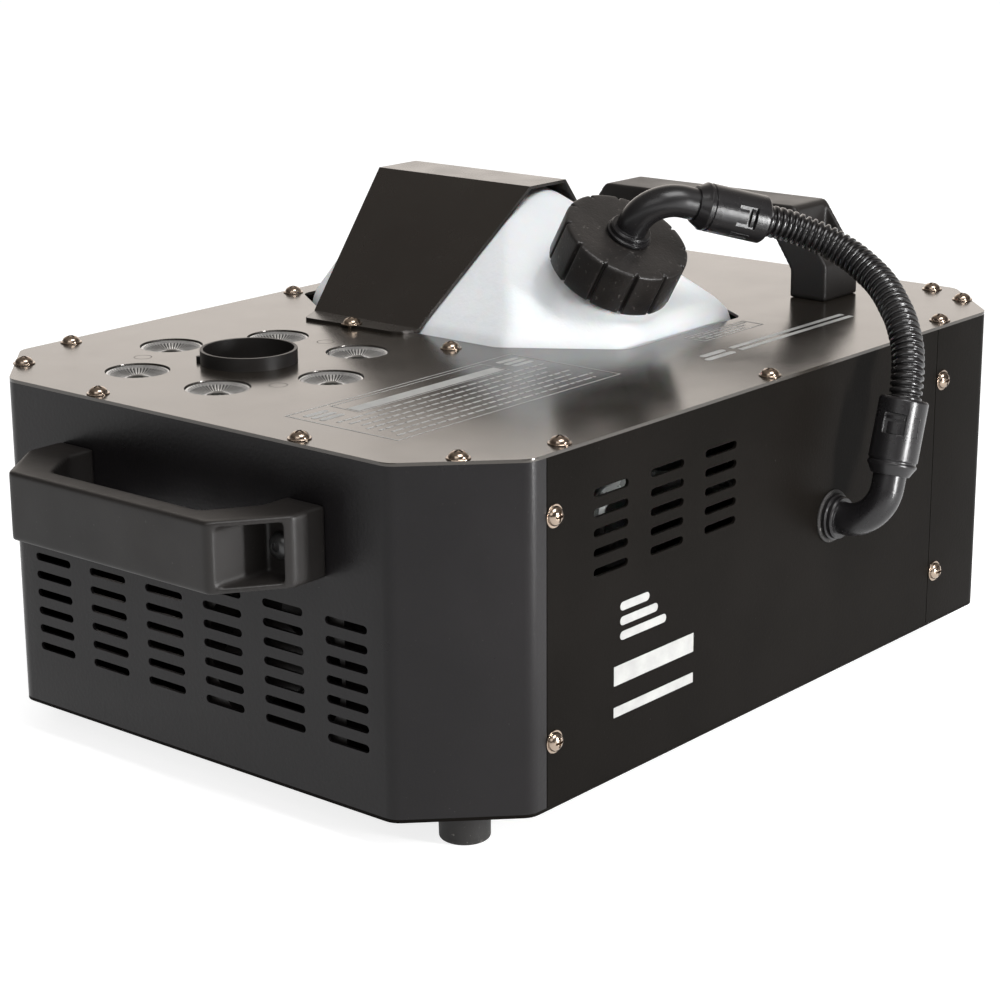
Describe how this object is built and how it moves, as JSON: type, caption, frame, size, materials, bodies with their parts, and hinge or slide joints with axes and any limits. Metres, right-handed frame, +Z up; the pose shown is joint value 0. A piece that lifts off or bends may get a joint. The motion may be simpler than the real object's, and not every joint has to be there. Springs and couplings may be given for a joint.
{
  "type": "fog machine",
  "caption": "Vertical fog machine: sheet-steel housing with an LED ring round an upward nozzle, sunken fluid tank with screw cap, corrugated hose and carrying handles.",
  "frame": {"origin": "centre of the footprint over both handles and the control end, on the plane the rubber feet stand on", "axes": "+Z up, +X from the front handle towards the control end, +Y to the left of +X; the hose is on the -Y side"},
  "size_m": [0.482, 0.3443, 0.2377],
  "materials": {
    "black_powder_coat": "satin black powder coat with a fine texture",
    "black_plastic": "fine-grained injection-moulded black plastic",
    "glossy_black_plastic": "glossy black moulded plastic",
    "hose_plastic": "glossy black corrugated conduit",
    "black_rubber": "matt black rubber",
    "bronze_screw": "bronze-tinted plated steel",
    "black_screw": "black oxide steel",
    "zinc_steel": "zinc-plated sheet steel",
    "milky_plastic": "translucent natural blow-moulded polyethylene",
    "clear_tube": "semi-clear flexible tubing",
    "grey_seal": "grey elastomer seal",
    "cast_aluminium": "cast and machined aluminium",
    "brass": "turned brass",
    "sintered_bronze": "porous sintered bronze",
    "stainless": "drawn stainless steel",
    "ceramic_wool": "pressed ceramic-fibre board",
    "lens_acrylic": "clear moulded acrylic",
    "circuit_board": "green solder mask",
    "white_board": "white solder mask on aluminium",
    "display_glass": "dark display window",
    "button_rubber": "dark grey silicone",
    "rocker_red": "translucent red rocker",
    "socket_metal": "dark nickel"
  },
  "bodies": {
    "housing": {"base_pan": "black_powder_coat", "front_cover": "black_powder_coat", "rear_cover": "black_powder_coat", "near_side_panel": "black_powder_coat", "far_side_panel": "black_powder_coat", "top_panel": "black_powder_coat", "inner_frame": "black_powder_coat", "panel_screws": "bronze_screw", "front_handle": "black_plastic", "rear_handle": "black_plastic", "handle_screws": "black_screw", "rubber_feet": "black_rubber", "foot_screws": "zinc_steel", "tank": "milky_plastic", "tank_dome": "milky_plastic", "tank_neck": "milky_plastic", "tank_shelf": "zinc_steel", "tank_bracket": "black_powder_coat", "pickup_tube": "clear_tube", "pickup_filter": "sintered_bronze", "cap_elbow": "glossy_black_plastic", "upper_connector": "glossy_black_plastic", "hose": "hose_plastic", "lower_connector": "glossy_black_plastic", "wall_elbow": "glossy_black_plastic", "wall_grommet": "black_rubber", "nozzle_collar": "black_powder_coat", "jet_nozzle": "brass", "steam_pipe": "stainless", "led_lenses": "lens_acrylic", "led_bezels": "black_plastic", "led_board": "white_board", "led_heatsink": "cast_aluminium", "heater_block": "cast_aluminium", "heater_insulation": "ceramic_wool", "inner_brackets": "zinc_steel", "thermal_cutout": "zinc_steel", "pump_body": "black_plastic", "pump_spring": "stainless", "fluid_lines": "clear_tube", "fan_frame": "black_plastic", "circuit_boards": "circuit_board", "power_components": "black_plastic", "control_bezel": "black_plastic", "display_window": "display_glass", "mains_inlet": "black_plastic", "power_switch_frame": "black_plastic", "fuse_holder": "black_plastic", "data_sockets": "socket_metal"},
    "cap": {"tank_cap": "black_plastic", "cap_gasket": "grey_seal"},
    "fan": {"fan_rotor": "black_plastic"},
    "plunger": {"pump_plunger": "stainless"},
    "rocker": {"power_rocker": "rocker_red"},
    "fuse_carrier": {"fuse_cap": "black_plastic"},
    "latch": {"socket_latch": "stainless"},
    "button_1": {"menu_button_1": "button_rubber"},
    "button_2": {"menu_button_2": "button_rubber"},
    "button_3": {"menu_button_3": "button_rubber"},
    "button_4": {"menu_button_4": "button_rubber"}
  },
  "joints": [
    {"name": "cap_turn", "type": "hinge", "parent": "housing", "child": "cap", "pos_m": [0.04, -0.05, 0.213], "axis": [-0.0829, -0.5234, 0.848], "range_deg": [0, 540]},
    {"name": "fan_spin", "type": "hinge", "parent": "housing", "child": "fan", "pos_m": [-0.192, -0.045, 0.069], "axis": [1, 0, 0], "continuous": true},
    {"name": "plunger_stroke", "type": "slide", "parent": "housing", "child": "plunger", "axis": [0, 0, 1], "range_m": [-0.0025, 0.0025], "stiffness_N_per_m": 3000, "deforming": ["pump_spring"]},
    {"name": "rocker_tilt", "type": "hinge", "parent": "housing", "child": "rocker", "pos_m": [0.231, -0.04, 0.055], "axis": [0, 1, 0], "range_deg": [-18, 0]},
    {"name": "fuse_cap_turn", "type": "hinge", "parent": "housing", "child": "fuse_carrier", "pos_m": [0.235, -0.01, 0.055], "axis": [1, 0, 0], "range_deg": [0, 60]},
    {"name": "latch_press", "type": "slide", "parent": "housing", "child": "latch", "axis": [-1, 0, 0], "range_m": [0, 0.0015], "stiffness_N_per_m": 300},
    {"name": "button_1_press", "type": "slide", "parent": "housing", "child": "button_1", "axis": [-1, 0, 0], "range_m": [0, 0.001], "stiffness_N_per_m": 300},
    {"name": "button_2_press", "type": "slide", "parent": "housing", "child": "button_2", "axis": [-1, 0, 0], "range_m": [0, 0.001], "stiffness_N_per_m": 300},
    {"name": "button_3_press", "type": "slide", "parent": "housing", "child": "button_3", "axis": [-1, 0, 0], "range_m": [0, 0.001], "stiffness_N_per_m": 300},
    {"name": "button_4_press", "type": "slide", "parent": "housing", "child": "button_4", "axis": [-1, 0, 0], "range_m": [0, 0.001], "stiffness_N_per_m": 300}
  ]
}
